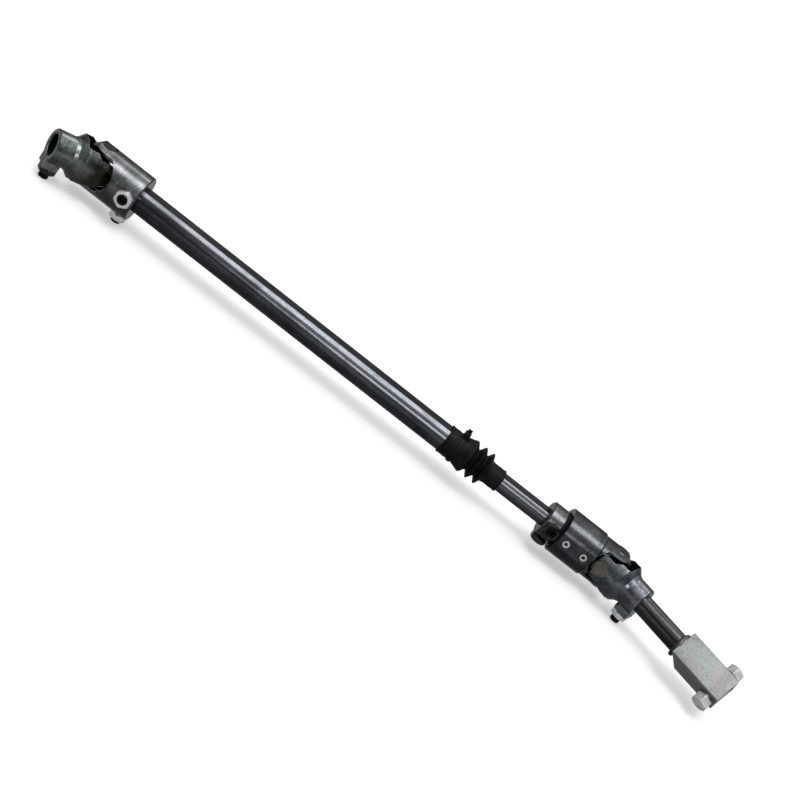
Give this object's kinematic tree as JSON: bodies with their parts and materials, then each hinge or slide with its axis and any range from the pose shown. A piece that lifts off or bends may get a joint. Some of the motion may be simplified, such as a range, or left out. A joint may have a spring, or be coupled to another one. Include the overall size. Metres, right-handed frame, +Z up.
{
  "type": "universal joint shaft",
  "caption": "Telescoping steering shaft with a needle-bearing universal joint at each end, a rubber boot, a rubber-cushioned coupling and a rectangular clamp coupler.",
  "frame": {"origin": "middle of the bounding box in X and Y, on the surface that the shaft lies on", "axes": "+X along the main shaft from the upper joint to the lower joint, +Z up along the pins of the tube and damper yokes; both end yokes are swung sideways towards -Y"},
  "size_m": [0.7504, 0.1082, 0.053],
  "materials": {
    "tube_steel": "drawn steel tube, lightly oiled",
    "machined_steel": "turned and milled steel",
    "cup_steel": "drawn hardened steel",
    "needle_steel": "ground bearing steel",
    "black_screw": "black oxide",
    "bright_zinc": "bright zinc plate",
    "boot_rubber": "moulded black rubber",
    "tie_plastic": "black nylon",
    "cross_steel": "forged, ground trunnions",
    "seal_rubber": "black nitrile",
    "forged_phosphate": "forged, grey-green phosphate",
    "cup_steel_upper": "drawn hardened steel",
    "needle_steel_upper": "ground bearing steel",
    "black_screw_upper": "black oxide",
    "dark_nut_upper": "dark plated",
    "shaft_steel": "drawn steel, dark",
    "hub_steel": "machined steel",
    "damper_rubber": "bonded rubber",
    "black_screw_hub": "black oxide",
    "dark_nut": "dark plated",
    "dark_steel": "machined, dark finish",
    "bright_pin": "bright plated",
    "cup_steel_damper": "drawn hardened steel",
    "needle_steel_damper": "ground bearing steel",
    "cross_steel_lower": "forged, ground trunnions",
    "seal_rubber_lower": "black nitrile",
    "forged_blue": "forged, blue-grey",
    "cup_steel_lower": "drawn hardened steel",
    "needle_steel_lower": "ground bearing steel",
    "black_screw_lower": "black oxide",
    "bright_nut_lower": "bright zinc plate",
    "stub_steel": "round bar, oiled black",
    "coupler_zinc": "zinc plated, speckled",
    "bright_bolt": "bright zinc plate",
    "bright_washer": "bright zinc plate"
  },
  "bodies": {
    "tube": {"outer_tube": "tube_steel", "tube_yoke": "machined_steel", "tube_yoke_bearing_cups": "cup_steel", "tube_yoke_needles": "needle_steel", "tube_yoke_set_screws": "black_screw", "tube_yoke_jam_nuts": "bright_zinc", "boot": "boot_rubber", "boot_tie": "tie_plastic"},
    "upper_cross": {"upper_cross": "cross_steel", "upper_cross_seals": "seal_rubber"},
    "upper_yoke": {"upper_yoke": "forged_phosphate", "upper_yoke_bearing_cups": "cup_steel_upper", "upper_yoke_needles": "needle_steel_upper", "upper_yoke_set_screw": "black_screw_upper", "upper_yoke_jam_nut": "dark_nut_upper"},
    "inner_shaft": {"inner_shaft": "shaft_steel", "damper_hub": "hub_steel", "damper_rubber": "damper_rubber", "damper_hub_set_screws": "black_screw_hub", "damper_hub_jam_nuts": "dark_nut"},
    "damper_yoke": {"damper_yoke": "dark_steel", "damper_pins": "bright_pin", "damper_yoke_bearing_cups": "cup_steel_damper", "damper_yoke_needles": "needle_steel_damper"},
    "lower_cross": {"lower_cross": "cross_steel_lower", "lower_cross_seals": "seal_rubber_lower"},
    "lower_yoke": {"lower_yoke": "forged_blue", "lower_yoke_bearing_cups": "cup_steel_lower", "lower_yoke_needles": "needle_steel_lower", "lower_yoke_set_screw": "black_screw_lower", "lower_yoke_jam_nut": "bright_nut_lower", "stub_shaft": "stub_steel", "column_coupler": "coupler_zinc", "coupler_clamp_bolts": "bright_bolt", "coupler_lock_washers": "bright_washer"}
  },
  "joints": [
    {"name": "upper_joint_swing", "type": "hinge", "parent": "tube", "child": "upper_cross", "pos_m": [-0.3311, 0.0315, 0.0305], "axis": [0, 0, 1], "range_deg": [-70, 0]},
    {"name": "upper_joint_nod", "type": "hinge", "parent": "upper_cross", "child": "upper_yoke", "pos_m": [-0.3311, 0.0315, 0.0305], "axis": [0.5736, -0.8192, 0], "range_deg": [-15, 15]},
    {"name": "telescope", "type": "slide", "parent": "tube", "child": "inner_shaft", "axis": [1, 0, 0], "range_m": [-0.045, 0.06]},
    {"name": "damper_twist", "type": "hinge", "parent": "inner_shaft", "child": "damper_yoke", "pos_m": [0.2369, 0.0315, 0.0305], "axis": [1, 0, 0], "range_deg": [-3, 3], "stiffness_Nm_per_rad": 60},
    {"name": "lower_joint_swing", "type": "hinge", "parent": "damper_yoke", "child": "lower_cross", "pos_m": [0.2369, 0.0315, 0.0305], "axis": [0, 0, 1], "range_deg": [-7, 63]},
    {"name": "lower_joint_nod", "type": "hinge", "parent": "lower_cross", "child": "lower_yoke", "pos_m": [0.2369, 0.0315, 0.0305], "axis": [-0.4695, -0.8829, 0], "range_deg": [-15, 15]}
  ]
}
